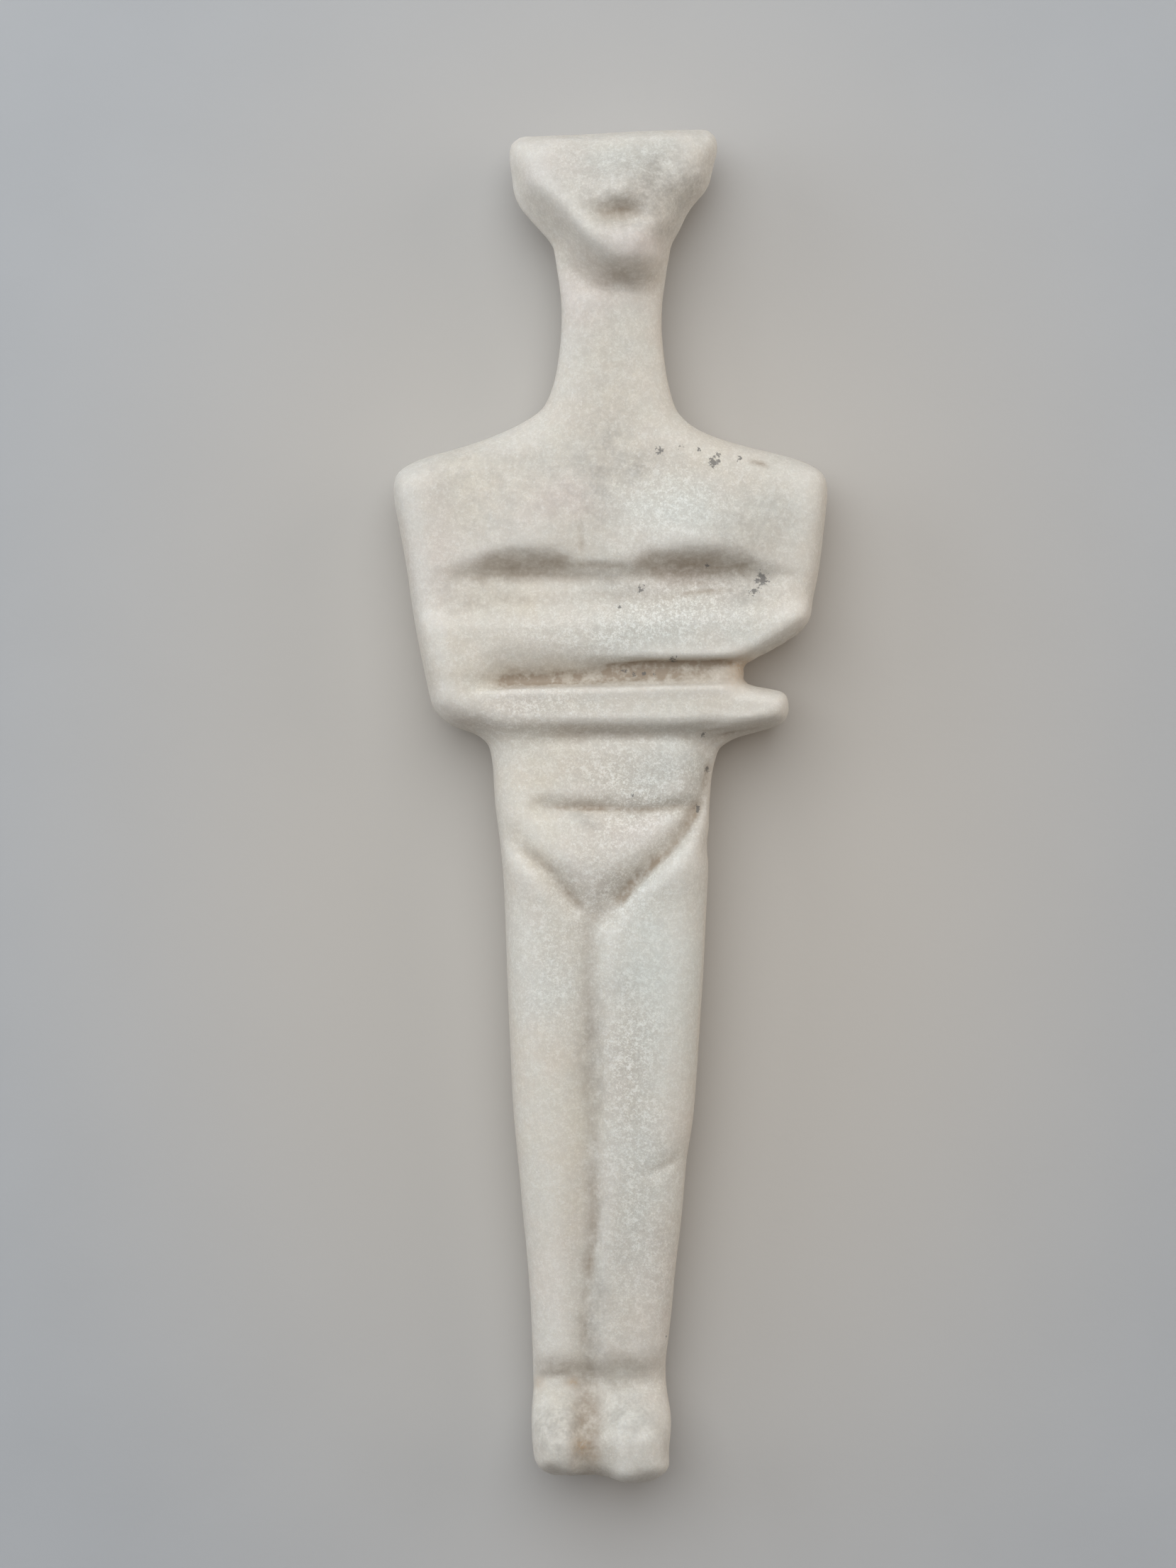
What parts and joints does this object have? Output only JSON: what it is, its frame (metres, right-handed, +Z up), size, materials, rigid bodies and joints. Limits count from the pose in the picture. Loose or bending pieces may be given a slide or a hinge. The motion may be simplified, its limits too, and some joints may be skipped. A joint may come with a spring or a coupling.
{
  "type": "folded-arm marble figurine",
  "caption": "Flat carved marble figurine lying on its back, with folded arms, a long neck, a wedge head and a broken left elbow.",
  "frame": {"origin": "under the middle of the figure's outline, on the surface that it lies on", "axes": "+Z up out of the face, +Y from the toes to the crown, +X to the figure's own left"},
  "size_m": [0.068, 0.21, 0.0202],
  "materials": {
    "marble": "hand-abraded, weathered and unpolished"
  },
  "bodies": {
    "root": {"figurine": "marble"}
  },
  "joints": []
}
